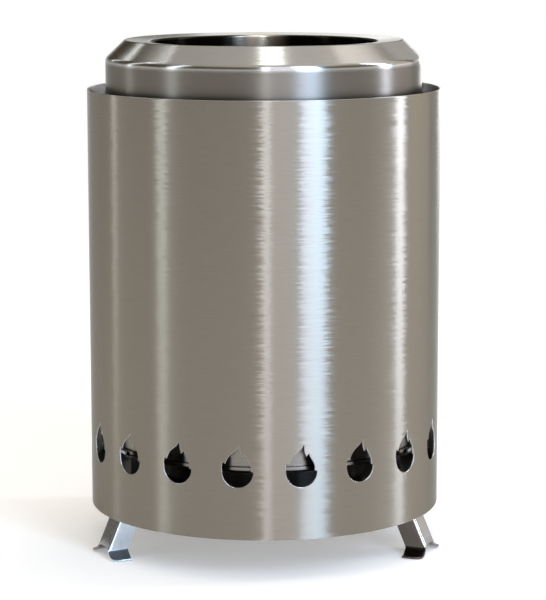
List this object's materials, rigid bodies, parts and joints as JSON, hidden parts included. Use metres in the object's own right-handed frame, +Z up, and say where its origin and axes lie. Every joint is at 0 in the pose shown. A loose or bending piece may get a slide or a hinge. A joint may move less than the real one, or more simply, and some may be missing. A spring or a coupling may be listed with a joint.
{
  "type": "portable wood stove",
  "caption": "Double-walled steel wood stove with flame-shaped air vents, a coned top ring over a lift-out firebox, and folding channel legs.",
  "frame": {"origin": "on the stove's axis, at the plane that its feet stand on", "axes": "+Z up the stove's axis; the front, midway between two of the legs, faces -Y; +X to the right as seen from the front"},
  "size_m": [0.18, 0.183, 0.2594],
  "materials": {
    "shell_steel": "stainless sheet with a fine grain brushed round the shell",
    "top_ring_steel": "stainless, spun and finely polished, smoother than the shell",
    "spacer_steel": "plain stainless sheet",
    "firebox_steel": "brushed stainless sheet with faint heat colour inside",
    "grate_steel": "thicker stainless plate, dulled by heat",
    "pan_steel": "plain stainless sheet",
    "base_steel": "plain stainless sheet",
    "bracket_steel": "plain stainless strip, cut edges brighter",
    "leg_steel": "bright rolled stainless strip",
    "rivet_steel": "stainless rivets and pins"
  },
  "bodies": {
    "stove_base": {"outer_shell": "shell_steel", "base_plate": "base_steel", "spacer_ring": "spacer_steel", "firebox_rest_1": "bracket_steel", "firebox_rest_2": "bracket_steel", "firebox_rest_3": "bracket_steel", "leg_bracket_1": "bracket_steel", "leg_bracket_2": "bracket_steel", "leg_bracket_3": "bracket_steel", "leg_pin_1": "rivet_steel", "leg_pin_2": "rivet_steel", "leg_pin_3": "rivet_steel", "base_rivet_1": "rivet_steel", "base_rivet_2": "rivet_steel", "base_rivet_3": "rivet_steel", "base_rivet_4": "rivet_steel", "base_rivet_5": "rivet_steel", "base_rivet_6": "rivet_steel"},
    "left_leg": {"leg_1": "leg_steel"},
    "right_leg": {"leg_2": "leg_steel"},
    "rear_leg": {"leg_3": "leg_steel"},
    "ash_pan": {"ash_pan": "pan_steel"},
    "firebox": {"firebox_wall": "firebox_steel", "firebox_floor": "firebox_steel", "top_ring": "top_ring_steel"},
    "grate": {"fire_grate": "grate_steel"}
  },
  "joints": [
    {"name": "left_leg_fold", "type": "hinge", "parent": "stove_base", "child": "left_leg", "pos_m": [-0.06947, -0.03329, 0.0269], "axis": [0.4321, -0.9018, 0], "range_deg": [0, 114]},
    {"name": "right_leg_fold", "type": "hinge", "parent": "stove_base", "child": "right_leg", "pos_m": [0.06947, -0.03329, 0.0269], "axis": [0.4321, 0.9018, 0], "range_deg": [0, 114]},
    {"name": "rear_leg_fold", "type": "hinge", "parent": "stove_base", "child": "rear_leg", "pos_m": [0, 0.07703, 0.0269], "axis": [-1, 0, 0], "range_deg": [0, 114]},
    {"name": "ash_pan_lift", "type": "slide", "parent": "stove_base", "child": "ash_pan", "axis": [0, 0, 1], "range_m": [0, 0.21]},
    {"name": "firebox_lift", "type": "slide", "parent": "ash_pan", "child": "firebox", "axis": [0, 0, 1], "range_m": [0, 0.19]},
    {"name": "grate_lift", "type": "slide", "parent": "firebox", "child": "grate", "axis": [0, 0, 1], "range_m": [0, 0.215]}
  ]
}
